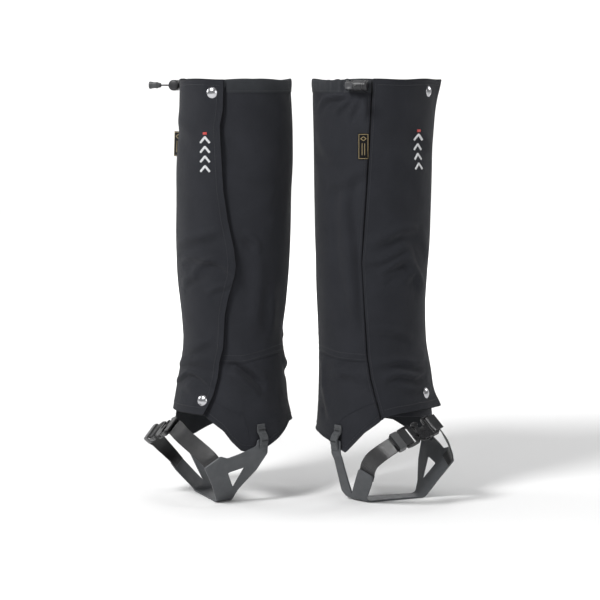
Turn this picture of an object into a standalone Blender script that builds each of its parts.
"""A pair of knee-high hiking gaiters, each an assembly of shells, flap, foot strap, buckle and cord lock.

Each gaiter is modelled in its own frame: +X points to the toe, +Y to the wearer's left and +Z up, with the
under-sole strap's lowest face at Z = 0. An empty stands each gaiter in the pair's shared frame.
"""

import math

import bmesh
import bpy
from mathutils import Matrix, Vector

MM = 0.001

# Where each gaiter stands in the pair's frame, which way its toe points, how far its buckle rides up the
# instep, where its flap ends, and the angle and height of the two snaps that close the flap.
GAITERS = {
    "left": {"place": Vector((-72.85 * MM, 24.65 * MM, 0)), "toe": math.radians(221), "buckle_rise": -4.5 * MM,
             "flap_bottom": 102 * MM, "snaps": {"top": (30, 464.5 * MM), "bottom": (19, 117 * MM)}},
    "right": {"place": Vector((84.65 * MM, 12.65 * MM, 0)), "toe": math.radians(310), "buckle_rise": 0.0,
              "flap_bottom": 106 * MM, "snaps": {"top": (20, 466 * MM), "bottom": (19, 123.5 * MM)}},
}

# The leg that the fabric goes round: height and radius, then height and how far the front swells.
LEG_RADII = ((58, 68.5), (96, 66.5), (126, 63), (153, 60), (180, 58.5), (205, 60), (250, 63.5),
             (300, 65.5), (380, 66.5), (430, 66.5), (455, 66.5), (480, 66.5))
TOE_SWELL = ((60, 0.08), (110, 0.07), (160, 0.02), (480, 0.0))

# The drawcord gathers the rim inward beside its lock.
GATHER_DEPTH = 6.0 * MM
GATHER_ANGLE, GATHER_SPREAD = -60, 24
GATHER_FADE = ((430, 0.0), (455, 0.5), (472, 1.0))

# Height of the lower hem against the angle from the toe, the same on both sides of the foot.
HEM_HEIGHTS = ((0, 98), (28, 97), (40, 84), (50, 70), (58, 61), (84, 60), (115, 78), (180, 85))

WALL = 0.8 * MM
GAP = 0.3 * MM
SHELL_TOP = 470 * MM
RIM = 479.5 * MM
YOKE = 162 * MM
SHELL_ARC = (-22, 313)  # degrees: from the underlap's edge round the back to the flap's seam
LOWER_INSET = 1.1 * MM

FLAP_ARC = (-43, 40)
FLAP_LIFT = 3.7 * MM
TAPE_ARC = (-3, 17)
TAPE_HEIGHTS = (134 * MM, 452 * MM)
TAPE = 1.0 * MM
HOOK_LIFT = WALL / 2 + GAP + TAPE / 2
LOOP_LIFT = HOOK_LIFT + TAPE + GAP

HEM_ARC = (46, 312)
HEM_WALL = 0.6 * MM
HEM_HALF_GAP = 1.9 * MM
HEM_BOTTOM = 466 * MM

CORD_RADIUS = 0.95 * MM
CORD_HEIGHT = 472.4 * MM
LOCK_ANGLE = 303
CORD_ARC = (52, LOCK_ANGLE - 3.5)  # the cord turns out of the hem over the last degrees
LOCK_RADIUS = 6.2 * MM
LOCK_BORE = 4.6 * MM
LOCK_FLOOR = -11 * MM
LOCK_MOUTH = 5.5 * MM
LOCK_STAND_OFF = 9.3 * MM
PLUNGER_TRAVEL = 3.5 * MM
PLUNGER_INNER_END = -3.5 * MM
CORD_END_OUT = 29 * MM

LABEL_ARC = (-56.5, -45.5)
LABEL_HEIGHTS = (390 * MM, 419 * MM)

STRAP = 1.8 * MM
SOLE_GIRTH = ((0, 0), (34.5, 0), (37.5, 1.0), (40.0, 3.2), (41.5, 6.0), (70.5, 57.5), (70.8, 80))
STRAP_NARROWING = 3.2  # share of the width lost for each metre toward the toe
TAB_X = 18 * MM
TAB_WIDTH = 10.5 * MM

WEBBING = 1.3 * MM
WEBBING_WIDTH = 19 * MM

BUCKLE_CENTRE = Vector((94.0, -16, 87)) * MM
BUCKLE_ALONG = Vector((-0.17, -0.925, -0.32)).normalized()  # from the socket to the plug
BUCKLE_OUT = Vector((0.66, 0, 0.75))
BUCKLE_HALF_WIDTH = 12.5 * MM
BUCKLE_HALF_THICK = 3.1 * MM
PLUG_HALF_THICK = 1.4 * MM
BUCKLE_END = 21.5 * MM
BAR_HALF_THICK = 1.2 * MM
STRAP_OFFSET = PLUG_HALF_THICK + 1.5 * GAP + WEBBING / 2
ARM_PIVOT = (3.2 * MM, 8.4 * MM)

MATERIALS = {
    "shell_fabric": ((0.026, 0.028, 0.032), 0.75, 0.0),
    "flap_fabric": ((0.022, 0.024, 0.028), 0.75, 0.0),
    "grey_strap": ((0.09, 0.095, 0.10), 0.5, 0.0),
    "black_webbing": ((0.02, 0.02, 0.022), 0.35, 0.0),
    "black_plastic": ((0.015, 0.015, 0.017), 0.3, 0.0),
    "snap_metal": ((0.75, 0.75, 0.76), 0.2, 1.0),
    "spring_steel": ((0.55, 0.55, 0.57), 0.3, 1.0),
    "closure_tape": ((0.018, 0.018, 0.02), 0.9, 0.0),
    "drawcord_nylon": ((0.02, 0.02, 0.022), 0.7, 0.0),
    "label_cloth": ((0.012, 0.012, 0.013), 0.6, 0.0),
}


# ---- Small tools ----


def clear_scene():
    for obj in list(bpy.data.objects):
        bpy.data.objects.remove(obj, do_unlink=True)


def new_collection(name):
    collection = bpy.data.collections.new(name)
    bpy.context.scene.collection.children.link(collection)
    return collection


def make_materials():
    for name, (colour, roughness, metallic) in MATERIALS.items():
        material = bpy.data.materials.new(name)
        material.use_nodes = True
        shader = material.node_tree.nodes["Principled BSDF"]
        shader.inputs["Base Color"].default_value = (*colour, 1)
        shader.inputs["Roughness"].default_value = roughness
        shader.inputs["Metallic"].default_value = metallic


def add(gaiter, name, data, material, matrix=None):
    """One named sub-part, parented to its gaiter's empty."""
    obj = bpy.data.objects.new(f"{gaiter.name}_{name}", data)
    data.materials.append(bpy.data.materials[material])
    bpy.data.collections["gaiters"].objects.link(obj)
    obj.parent = gaiter
    if matrix:
        obj.matrix_local = matrix
    return obj


def cut(obj, name, mesh, matrix):
    """Cuts a closed mesh, placed in the gaiter's frame, out of a sub-part."""
    cutter = bpy.data.objects.new(f"{obj.name}_{name}", mesh)
    bpy.data.collections["cutters"].objects.link(cutter)
    cutter.parent = obj.parent
    cutter.matrix_local = matrix
    cutter.hide_render = True
    cutter.display_type = "WIRE"
    modifier = obj.modifiers.new(name, "BOOLEAN")
    modifier.object = cutter
    modifier.operation = "DIFFERENCE"


def solidify(obj, thickness):
    modifier = obj.modifiers.new("wall", "SOLIDIFY")
    modifier.thickness = thickness
    modifier.offset = 0
    return obj


def interpolate(table, value):
    """Straight lines between the rows of (place, amount)."""
    if value <= table[0][0]:
        return table[0][1]
    for (low, first), (high, last) in zip(table, table[1:]):
        if value <= high:
            return first + (last - first) * (value - low) / (high - low)
    return table[-1][1]


def spread(start, end, count):
    return [start + (end - start) * i / count for i in range(count + 1)]


def smooth_path(points, per_span=4):
    """A Catmull-Rom curve through the points."""
    padded = [2 * points[0] - points[1], *points, 2 * points[-1] - points[-2]]
    path = []
    for a, b, c, d in zip(padded, padded[1:], padded[2:], padded[3:]):
        for i in range(per_span):
            t = i / per_span
            path.append(0.5 * (2 * b + (c - a) * t + (2 * a - 5 * b + 4 * c - d) * t * t
                               + (3 * b - a - 3 * c + d) * t**3))
    return [*path, points[-1]]


def grid_mesh(name, rows):
    """A sheet of quads through rows of points."""
    bm = bmesh.new()
    made = [[bm.verts.new(point) for point in row] for row in rows]
    for lower, upper in zip(made, made[1:]):
        for i in range(len(lower) - 1):
            bm.faces.new((lower[i], lower[i + 1], upper[i + 1], upper[i]))
    return finish_mesh(bm, name)


def finish_mesh(bm, name):
    bmesh.ops.recalc_face_normals(bm, faces=bm.faces)
    mesh = bpy.data.meshes.new(name)
    bm.to_mesh(mesh)
    bm.free()
    return mesh


def box_mesh(name, low, high):
    bm = bmesh.new()
    low, high = Vector(low), Vector(high)
    size = Matrix.Diagonal((*(high - low), 1))
    bmesh.ops.create_cube(bm, size=1, matrix=Matrix.Translation((low + high) / 2) @ size)
    return finish_mesh(bm, name)


def cylinder_mesh(name, radius, length, sides=16):
    bm = bmesh.new()
    bmesh.ops.create_cone(bm, cap_ends=True, segments=sides, radius1=radius, radius2=radius, depth=length)
    return finish_mesh(bm, name)


def turned(gaiter, name, profile, material, matrix, closed=False, steps=16):
    """A turned piece: the profile of (radius, height) goes down its outer side, about the matrix's Z axis."""
    mesh = bpy.data.meshes.new(name)
    edges = [(i, i + 1) for i in range(len(profile) - 1)]
    if closed:
        edges.append((len(profile) - 1, 0))
    mesh.from_pydata([(radius * MM, 0, height * MM) for radius, height in profile], edges, [])
    obj = add(gaiter, name, mesh, material, matrix)
    screw = obj.modifiers.new("turn", "SCREW")
    screw.steps = screw.render_steps = steps
    screw.use_merge_vertices = True
    screw.merge_threshold = 0.00001
    return obj


def ribbon(gaiter, name, path, across, width, thickness, material):
    """A strap along a path. across gives, for each point, the direction of its width."""
    rows = []
    for i, point in enumerate(path):
        along = (path[min(i + 1, len(path) - 1)] - path[max(i - 1, 0)]).normalized()
        side = (across[i] - across[i].dot(along) * along).normalized() * width / 2
        rows.append((point - side, point + side))
    return solidify(add(gaiter, name, grid_mesh(name, rows), material), thickness)


# ---- The leg that everything goes round ----


def leg_point(degrees, height, lift=0.0):
    """A point on the fabric, at an angle from the toe, a height and a distance outside the shell."""
    angle = math.radians(degrees)
    swell = 1 + interpolate(TOE_SWELL, height / MM) * math.cos(angle)
    from_gather = (degrees - GATHER_ANGLE + 180) % 360 - 180
    gather = math.exp(-((from_gather / GATHER_SPREAD) ** 2)) * interpolate(GATHER_FADE, height / MM)
    radius = interpolate(LEG_RADII, height / MM) * MM * swell - GATHER_DEPTH * gather + lift
    return Vector((radius * math.cos(angle), radius * math.sin(angle), height))


def facing_out(degrees, height, lift):
    """A frame on the fabric whose Z axis points squarely out of it and whose Y axis points up along it."""
    angle = math.radians(degrees)
    round_leg = Vector((-math.sin(angle), math.cos(angle), 0))
    up = (leg_point(degrees, height + 3 * MM) - leg_point(degrees, height - 3 * MM)).normalized()
    out = round_leg.cross(up)
    turn = Matrix((up.cross(out), up, out)).transposed().to_4x4()
    return Matrix.Translation(leg_point(degrees, height)) @ turn @ Matrix.Translation((0, 0, lift))


def rows_between(low, high):
    """The heights of a panel's rows: its two edges and the leg's own sections between them."""
    return [low, *(height * MM for height, _ in LEG_RADII if low < height * MM < high), high]


def cord_way_out(distance):
    """A level frame on the cord's way out of the hem, that far beyond the shell: Z outward and Y up."""
    out = (leg_point(LOCK_ANGLE, CORD_HEIGHT) * Vector((1, 1, 0))).normalized()
    up = Vector((0, 0, 1))
    turn = Matrix((up.cross(out), up, out)).transposed().to_4x4()
    return Matrix.Translation(leg_point(LOCK_ANGLE, CORD_HEIGHT) + out * distance) @ turn


def leg_sheet(gaiter, name, arc, columns, edges, lift, thickness, material):
    """A panel of the leg between two heights."""
    rows = [[leg_point(angle, height, lift) for angle in spread(*arc, columns)]
            for height in rows_between(*edges)]
    return solidify(add(gaiter, name, grid_mesh(name, rows), material), thickness)


def hem_height(degrees):
    from_toe = abs((degrees + 180) % 360 - 180)
    return interpolate(HEM_HEIGHTS, from_toe) * MM


# ---- Fabric ----


def make_upper_shell(gaiter):
    edges = (YOKE + GAP / 2, SHELL_TOP)
    return leg_sheet(gaiter, "upper_shell", SHELL_ARC, 30, edges, 0, WALL, "shell_fabric")


def make_lower_shell(gaiter):
    angles = spread(*SHELL_ARC, 30)
    top = YOKE - GAP / 2
    rows = [[leg_point(angle, hem_height(angle), -LOWER_INSET) for angle in angles]]
    for height in rows_between(max(z for _, z in HEM_HEIGHTS) * MM, top)[1:]:
        rows.append([leg_point(angle, height, -LOWER_INSET) for angle in angles])
    mesh = grid_mesh("lower_shell", rows)
    return solidify(add(gaiter, "lower_shell", mesh, "shell_fabric"), WALL)


def make_front_flap(gaiter, bottom):
    edges = (bottom, RIM)
    return leg_sheet(gaiter, "front_flap", FLAP_ARC, 12, edges, FLAP_LIFT, WALL, "flap_fabric")


def make_tapes(gaiter):
    """The hook tape on the underlap and the loop tape inside the flap."""
    for name, lift in (("hook_tape", HOOK_LIFT), ("loop_tape", LOOP_LIFT)):
        leg_sheet(gaiter, name, TAPE_ARC, 2, TAPE_HEIGHTS, lift, TAPE, "closure_tape")


def make_seam_label(gaiter):
    lift = WALL / 2 + GAP + HEM_WALL / 2
    leg_sheet(gaiter, "seam_label", LABEL_ARC, 2, LABEL_HEIGHTS, lift, HEM_WALL, "label_cloth")


def make_top_hem(gaiter):
    """A folded channel over the shell's top edge, open below, with the cord's way out through it."""
    profile = ((-HEM_HALF_GAP, HEM_BOTTOM), (-HEM_HALF_GAP, RIM - 1.4 * MM), (-0.7 * MM, RIM - 0.3 * MM),
               (0.7 * MM, RIM - 0.3 * MM), (HEM_HALF_GAP, RIM - 1.4 * MM), (HEM_HALF_GAP, HEM_BOTTOM))
    rows = [[leg_point(angle, height, lift) for angle in spread(*HEM_ARC, 28)] for lift, height in profile]
    obj = solidify(add(gaiter, "top_hem", grid_mesh("top_hem", rows), "shell_fabric"), HEM_WALL)
    hole = cylinder_mesh("cord_way", CORD_RADIUS + 4 * GAP, 6 * MM)
    cut(obj, "cord_way", hole, cord_way_out(3.2 * MM))


# ---- Drawcord and its lock ----


def make_drawcord(gaiter):
    """Round the rim inside the channel, then straight out through the lock into the cord end."""
    ring = [leg_point(angle, CORD_HEIGHT) for angle in spread(*CORD_ARC, 30)]
    start = ring[-1]
    corner, bend_end, tip = (cord_way_out(out).translation for out in (0, 2.5 * MM, CORD_END_OUT + 6 * MM))
    bend = [start.lerp(corner, t).lerp(corner.lerp(bend_end, t), t) for t in (0.25, 0.5, 0.75, 1)]
    points = ring + bend + [bend_end.lerp(tip, t) for t in (0.33, 0.67, 1)]
    curve = bpy.data.curves.new("drawcord", "CURVE")
    curve.dimensions = "3D"
    curve.bevel_depth = CORD_RADIUS
    curve.bevel_resolution = 2
    curve.use_fill_caps = True
    spline = curve.splines.new("POLY")
    spline.points.add(len(points) - 1)
    for made, point in zip(spline.points, points):
        made.co = (*point, 1)
    add(gaiter, "drawcord", curve, "drawcord_nylon")


def make_cord_end(gaiter):
    profile = ((0, 13.5), (3.0, 13.3), (4.0, 12.3), (4.5, 5), (3.3, 0), (1.3, 0), (1.3, 7), (0, 7))
    turned(gaiter, "cord_end", profile, "black_plastic", cord_way_out(CORD_END_OUT), steps=12)


def lock_frame():
    """Z runs along the barrel toward the button, X goes out along the cord, from where the cord crosses."""
    out = cord_way_out(LOCK_STAND_OFF)
    away_from_flap = -out.col[0].to_3d()
    outward = out.col[2].to_3d()
    axes = Matrix((outward, away_from_flap.cross(outward), away_from_flap)).transposed().to_4x4()
    return Matrix.Translation(out.translation) @ axes


def make_cord_lock(gaiter):
    frame = lock_frame()
    across = frame @ Matrix.Rotation(math.radians(90), 4, "Y")
    mouth, floor = LOCK_MOUTH / MM, LOCK_FLOOR / MM
    bore, outside, shaft = LOCK_BORE / MM, LOCK_RADIUS / MM, LOCK_BORE / MM - 0.3
    profile = ((0, floor), (bore, floor), (bore, mouth), (outside - 0.5, mouth), (outside, mouth - 0.5),
               (outside, floor - 1.0), (outside - 0.7, floor - 1.7), (0, floor - 1.7))
    barrel = turned(gaiter, "cord_lock_barrel", profile, "black_plastic", frame)
    hole = cylinder_mesh("cord_hole", CORD_RADIUS + 2 * GAP, 4 * LOCK_RADIUS, 12)
    cut(barrel, "cord_hole", hole, across)

    inner, button = PLUNGER_INNER_END / MM, mouth + PLUNGER_TRAVEL / MM
    profile = ((0, button + 3.4), (4.6, button + 3.2), (5.6, button + 2.4), (5.6, button + 0.4),
               (shaft, button), (shaft, inner), (0, inner))
    plunger = turned(gaiter, "cord_lock_plunger", profile, "black_plastic", frame)
    half = CORD_RADIUS + 1.5 * GAP
    slot = box_mesh("cord_slot", (-8 * MM, -half, -half), (8 * MM, half, half + PLUNGER_TRAVEL))
    cut(plunger, "cord_slot", slot, frame)
    make_lock_spring(gaiter, frame)


def make_lock_spring(gaiter, frame):
    wire, coil, turns, per_turn = 0.3 * MM, 3.0 * MM, 3.5, 10
    low, high = LOCK_FLOOR + wire + GAP, PLUNGER_INNER_END - wire - GAP
    count = int(turns * per_turn)
    curve = bpy.data.curves.new("cord_lock_spring", "CURVE")
    curve.dimensions = "3D"
    curve.bevel_depth = wire
    curve.bevel_resolution = 1
    curve.use_fill_caps = True
    spline = curve.splines.new("POLY")
    spline.points.add(count)
    for i, made in enumerate(spline.points):
        angle = math.tau * i / per_turn
        made.co = (coil * math.cos(angle), coil * math.sin(angle), low + (high - low) * i / count, 1)
    add(gaiter, "cord_lock_spring", curve, "spring_steel", frame)


# ---- Snaps ----


def make_snap(gaiter, which, angle, height, shell, inset, flap):
    """A cap and a socket on the flap, which close over a stud and its eyelet on the shell."""
    base = facing_out(angle, height, 0)
    on_flap = base @ Matrix.Translation((0, 0, FLAP_LIFT))
    on_shell = base @ Matrix.Translation((0, 0, -inset))
    cap = ((0, 3.0), (2.5, 2.8), (4.6, 2.1), (6.0, 1.1), (6.3, 0.7), (1.7, 0.7), (1.7, -0.75), (0, -0.75))
    turned(gaiter, f"snap_cap_{which}", cap, "snap_metal", on_flap)
    socket = ((2.9, -1.0), (5.0, -1.0), (5.2, -1.4), (5.0, -2.2), (2.9, -2.2))
    turned(gaiter, f"snap_socket_{which}", socket, "snap_metal", on_flap, closed=True)
    reach = (FLAP_LIFT + inset) / MM - 1.3
    stud = ((0, reach), (1.4, reach - 0.1), (1.7, reach - 0.6), (1.4, 1.2), (4.4, 1.2), (4.6, 0.7), (0, 0.7))
    turned(gaiter, f"snap_stud_{which}", stud, "snap_metal", on_shell)
    eyelet = ((0, 0.4), (1.5, 0.4), (1.5, -1.1), (4.2, -1.1), (4.4, -1.5), (0, -1.8))
    turned(gaiter, f"snap_eyelet_{which}", eyelet, "snap_metal", on_shell, steps=12)
    cut(flap, f"snap_{which}", cylinder_mesh("cap_hole", 2.0 * MM, 6 * MM), on_flap)
    cut(shell, f"snap_{which}", cylinder_mesh("eyelet_hole", 1.8 * MM, 6 * MM), on_shell)


# ---- Foot strap ----


def girth_at_height(height):
    """How far round the foot, from the middle of the sole, the strap's line reaches a height in mm."""
    travelled = 0.0
    for (y0, z0), (y1, z1) in zip(SOLE_GIRTH, SOLE_GIRTH[1:]):
        length = math.hypot(y1 - y0, z1 - z0)
        if z1 > height:
            return travelled + length * (height - z0) / (z1 - z0)
        travelled += length
    return travelled


def wrap_round_foot(x, girth):
    """The point at x mm toward the toe and a distance round the foot, in metres."""
    left = abs(girth)
    for (y0, z0), (y1, z1) in zip(SOLE_GIRTH, SOLE_GIRTH[1:]):
        length = math.hypot(y1 - y0, z1 - z0)
        if left <= length:
            break
        left -= length
    share = left / length
    y = (y0 + (y1 - y0) * share) * (1 - STRAP_NARROWING * max(0, x * MM - TAB_X))
    z = z0 + (z1 - z0) * share
    return Vector((x, math.copysign(y, girth), z)) * MM + Vector((0, 0, STRAP / 2))


def rounded_outline(points, radius=2.5):
    """The closed outline with each corner replaced by a short three-point bend."""
    outline = []
    for before, corner, after in zip(points[-1:] + points[:-1], points, points[1:] + points[:1]):
        inward, outward = before - corner, after - corner
        first = corner + inward.normalized() * min(radius, inward.length / 3)
        last = corner + outward.normalized() * min(radius, outward.length / 3)
        outline += [first, (first + last + 2 * corner) / 4, last]
    return outline


def make_foot_strap(gaiter):
    """One moulded piece: a leg and a brace with an eye on +Y, the sole band, and a V on -Y."""
    def side(x, height, sign=1):
        return Vector((x, sign * girth_at_height(height)))

    edge = 40
    outline = [
        Vector((36, edge)), side(33, 13.5), side(18.5, 36), side(11.5, 56), side(11.5, 73), side(24.5, 73),
        side(25.5, 66), side(60, 54), side(70, 57.5), side(86, 45), side(69.5, 22.5), Vector((57, edge)),
        Vector((34, -edge)), side(52, 24, -1), side(58, 34, -1), side(42.5, 42, -1), side(35, 32.5, -1),
        side(14.5, 7, -1), side(24.5, 54, -1), side(24.5, 73, -1), side(11.5, 73, -1), side(11.5, 50, -1),
        side(-2, 9, -1), Vector((2, -edge)),
    ]
    eye = [side(54.5, 36.5), side(34.5, 41.5), side(40.5, 16)]
    bm = bmesh.new()
    for loop in (rounded_outline(outline), rounded_outline(eye)):
        verts = [bm.verts.new((*point, 0)) for point in loop]
        for i, vert in enumerate(verts):
            bm.edges.new((vert, verts[i - 1]))
    bmesh.ops.triangle_fill(bm, use_beauty=True, edges=bm.edges)
    bends = [girth_at_height(z) for _, z in SOLE_GIRTH[2:-1]] + [SOLE_GIRTH[1][0]]
    for bend in bends + [-bend for bend in bends]:
        everything = [*bm.verts, *bm.edges, *bm.faces]
        bmesh.ops.bisect_plane(bm, geom=everything, plane_co=(0, bend, 0), plane_no=(0, 1, 0), dist=0.01)
    for vert in bm.verts:
        vert.co = wrap_round_foot(vert.co.x, vert.co.y)
    solidify(add(gaiter, "foot_strap", finish_mesh(bm, "foot_strap"), "grey_strap"), STRAP)


def make_tabs(gaiter):
    """The webbing tabs that sew the foot strap's two rear legs to the lower shell."""
    strap_outside = SOLE_GIRTH[-2][0] * MM + STRAP / 2 + GAP + WEBBING / 2
    shell_outside = leg_point(75, 90 * MM).y + WALL / 2 + GAP + WEBBING / 2 + 0.5 * MM
    line = ((strap_outside, 63.5), (strap_outside, 76.5), (shell_outside, 81.5), (shell_outside, 89.5))
    for name, sign in (("tab_left", 1), ("tab_right", -1)):
        path = [Vector((TAB_X, sign * y, z * MM)) for y, z in line]
        ribbon(gaiter, name, path, [Vector((1, 0, 0))] * 4, TAB_WIDTH, WEBBING, "grey_strap")


# ---- Instep straps and buckle ----


def buckle_frame(rise):
    """X runs from the socket to the plug, Y across the buckle and Z out from the instep."""
    out = (BUCKLE_OUT - BUCKLE_OUT.dot(BUCKLE_ALONG) * BUCKLE_ALONG).normalized()
    axes = Matrix((BUCKLE_ALONG, out.cross(BUCKLE_ALONG), out)).transposed().to_4x4()
    return Matrix.Translation(BUCKLE_CENTRE + Vector((0, 0, rise))) @ axes


def loop_round_bar(frame, bar, side, tail):
    """A strap's way under a buckle bar, round it and back over itself, toward side (+1 or -1)."""
    turn = [(bar - side * STRAP_OFFSET * math.sin(a), -STRAP_OFFSET * math.cos(a))
            for a in spread(0, math.pi, 6)]
    line = [*turn, (bar + side * tail, STRAP_OFFSET)]
    return [frame @ Vector((x, 0, z)) for x, z in line]


def under_foot_strap(x, height, sign):
    """The middle of a webbing sewn to the foot strap's inner face, x and height in mm."""
    girth = sign * girth_at_height(height)
    spot, ahead, above = (wrap_round_foot(x + dx, girth + sign * dg) for dx, dg in ((0, 0), (1, 0), (0, 1)))
    inward = (ahead - spot).cross(above - spot).normalized() * sign
    return spot + inward * (STRAP / 2 + WEBBING / 2 + 2 * GAP)


def make_instep_straps(gaiter, frame):
    """Each is sewn inside a tongue of the foot strap, runs up the instep, and folds round a buckle bar."""
    across_buckle = frame.col[1].to_3d()
    straps = {
        "instep_strap_fixed": {
            "sewn": [under_foot_strap(72.5, 42, 1), under_foot_strap(78, 50.5, 1)],
            "foot": [Vector(p) * MM for p in ((82.5, 46.5, 60), (88, 37, 68.5), (96, 23, 81))],
            "across": Vector((0.717, -0.408, -0.56)), "bar": -20.4 * MM, "side": -1, "enter": -27 * MM,
            "tail": 9 * MM,
        },
        "instep_strap_adjust": {
            "sewn": [under_foot_strap(46, 31, -1), under_foot_strap(50.5, 37.5, -1)],
            "foot": [Vector(p) * MM for p in ((56.5, -55, 47), (65, -56.5, 56), (77, -53, 66))],
            "across": Vector((0.824, 0.372, -0.425)), "bar": 13.3 * MM, "side": 1, "enter": 33 * MM,
            "tail": 19 * MM,
        },
    }
    for name, strap in straps.items():
        entry = frame @ Vector((strap["enter"], 0, -STRAP_OFFSET))
        path = smooth_path([*strap["sewn"], *strap["foot"], entry], 3)
        sewn, spans = 3, len(path) - 1
        across = [strap["across"].lerp(across_buckle, max(0, i - sewn) / (spans - sewn))
                  for i in range(spans + 1)]
        loop = loop_round_bar(frame, strap["bar"], strap["side"], strap["tail"])
        across += [across_buckle] * len(loop)
        ribbon(gaiter, name, path + loop, across, WEBBING_WIDTH, WEBBING, "black_webbing")


def make_buckle_socket(gaiter, frame):
    w, t = BUCKLE_HALF_WIDTH, BUCKLE_HALF_THICK
    body = box_mesh("buckle_socket", (-BUCKLE_END, -w, -t), (2 * MM, w, t))
    obj = add(gaiter, "buckle_socket", body, "black_plastic", frame)
    bevel = obj.modifiers.new("rounded", "BEVEL")
    bevel.width = 1.2 * MM
    bevel.segments = 2
    clear = PLUG_HALF_THICK + GAP
    pockets = {
        "mouth": ((-9 * MM, -2 * w, -clear), (5 * MM, 2 * w, clear)),
        "tongue_way": ((-13.5 * MM, -3.6 * MM, -clear), (0, 3.6 * MM, clear)),
        "bar_over": ((-30 * MM, -10.2 * MM, BAR_HALF_THICK), (-15 * MM, 10.2 * MM, 2 * t)),
        "bar_under": ((-30 * MM, -10.2 * MM, -2 * t), (-15 * MM, 10.2 * MM, -BAR_HALF_THICK)),
        "bar_slot": ((-19.3 * MM, -10.2 * MM, -2 * t), (-15 * MM, 10.2 * MM, 2 * t)),
    }
    for name, (low, high) in pockets.items():
        cut(obj, name, box_mesh(name, low, high), frame)


def flat_plate(gaiter, name, loops, half_thick, matrix):
    """A plate from its outline and its holes, in mm."""
    curve = bpy.data.curves.new(name, "CURVE")
    curve.dimensions = "2D"
    curve.fill_mode = "BOTH"
    curve.extrude = half_thick
    for loop in loops:
        spline = curve.splines.new("POLY")
        spline.points.add(len(loop) - 1)
        for made, (x, y) in zip(spline.points, loop):
            made.co = (x * MM, y * MM, 0, 1)
        spline.use_cyclic_u = True
    return add(gaiter, name, curve, "black_plastic", matrix)


def make_buckle_plug(gaiter, frame):
    half = [(21.5, 10), (19.5, 12.5), (5, 12.5), (3.6, 11), (3.6, 3), (-11, 3), (-12.5, 1.5)]
    outline = half + [(x, -y) for x, y in reversed(half)]
    slots = [[(low, -10.2), (high, -10.2), (high, 10.2), (low, 10.2)]
             for low, high in ((7.6, 12.4), (14.2, 19.3))]
    flat_plate(gaiter, "buckle_plug", [outline, *slots], PLUG_HALF_THICK, frame)
    arm = [(3.3, 7), (3.3, 9.6), (1, 10.2), (0, 12.2), (-5, 12.2), (-6.5, 10.6), (-7.6, 8.2), (-6, 7.6),
           (0, 7.4)]
    for name, sign in (("release_arm_upper", -1), ("release_arm_lower", 1)):
        flat_plate(gaiter, name, [[(x, sign * y) for x, y in arm]], PLUG_HALF_THICK, frame)


def make_strap_keeper(gaiter, frame):
    """A rectangular band round the two layers of the adjustable strap."""
    half_width, half_high = WEBBING_WIDTH / 2 + 1.2 * MM, STRAP_OFFSET + WEBBING / 2 + 0.9 * MM
    corners = ((-half_width, -half_high), (half_width, -half_high), (half_width, half_high),
               (-half_width, half_high))
    rows = [[frame @ Vector((x * MM, y, z)) for y, z in (*corners, corners[0])] for x in (23, 31)]
    mesh = grid_mesh("strap_keeper", rows)
    bm = bmesh.new()
    bm.from_mesh(mesh)
    bmesh.ops.remove_doubles(bm, verts=bm.verts, dist=0.00001)
    bm.to_mesh(mesh)
    bm.free()
    obj = solidify(add(gaiter, "strap_keeper", mesh, "black_webbing"), 1.2 * MM)
    obj.modifiers["wall"].use_even_offset = True


# ---- The pair ----


def hang_on(gaiter, name, matrix, pieces):
    """Parents the pieces that move together to an empty on their joint."""
    empty = bpy.data.objects.new(f"{gaiter.name}_{name}", None)
    bpy.data.collections["gaiters"].objects.link(empty)
    empty.parent = gaiter
    empty.matrix_local = matrix
    for piece in pieces:
        obj = bpy.data.objects[f"{gaiter.name}_{piece}"]
        obj.parent = empty
        obj.matrix_parent_inverse = matrix.inverted()


def add_joints(gaiter, buckle):
    on_flap = [f"snap_{kind}_{which}" for kind in ("cap", "socket") for which in ("top", "bottom")]
    seam = Matrix.Translation(leg_point(FLAP_ARC[0], 300 * MM, FLAP_LIFT))
    hang_on(gaiter, "flap_seam", seam, ["front_flap", "loop_tape", *on_flap])
    hang_on(gaiter, "lock_axis", lock_frame(), ["cord_lock_plunger"])
    hang_on(gaiter, "buckle_line", buckle, ["buckle_plug", "strap_keeper"])
    x, y = ARM_PIVOT
    for side, sign in (("upper", -1), ("lower", 1)):
        pivot = buckle @ Matrix.Translation((x, sign * y, 0))
        hang_on(gaiter, f"arm_{side}_pivot", pivot, [f"release_arm_{side}"])


def make_gaiter(name, place, toe, buckle_rise, flap_bottom, snaps):
    gaiter = bpy.data.objects.new(name, None)
    bpy.data.collections["gaiters"].objects.link(gaiter)
    gaiter.location = place
    gaiter.rotation_euler.z = toe
    upper = make_upper_shell(gaiter)
    lower = make_lower_shell(gaiter)
    flap = make_front_flap(gaiter, flap_bottom)
    make_tapes(gaiter)
    make_seam_label(gaiter)
    make_top_hem(gaiter)
    make_drawcord(gaiter)
    make_cord_end(gaiter)
    make_cord_lock(gaiter)
    make_snap(gaiter, "top", *snaps["top"], upper, 0, flap)
    make_snap(gaiter, "bottom", *snaps["bottom"], lower, LOWER_INSET, flap)
    make_foot_strap(gaiter)
    make_tabs(gaiter)
    frame = buckle_frame(buckle_rise)
    make_instep_straps(gaiter, frame)
    make_buckle_socket(gaiter, frame)
    make_buckle_plug(gaiter, frame)
    make_strap_keeper(gaiter, frame)
    add_joints(gaiter, frame)


clear_scene()
new_collection("gaiters")
new_collection("cutters")
make_materials()
for gaiter_name, stand in GAITERS.items():
    make_gaiter(gaiter_name, **stand)
for part in bpy.data.collections["gaiters"].objects:
    if part.type == "MESH":
        part.data.shade_smooth()
        part.data.set_sharp_from_angle(angle=math.radians(35))
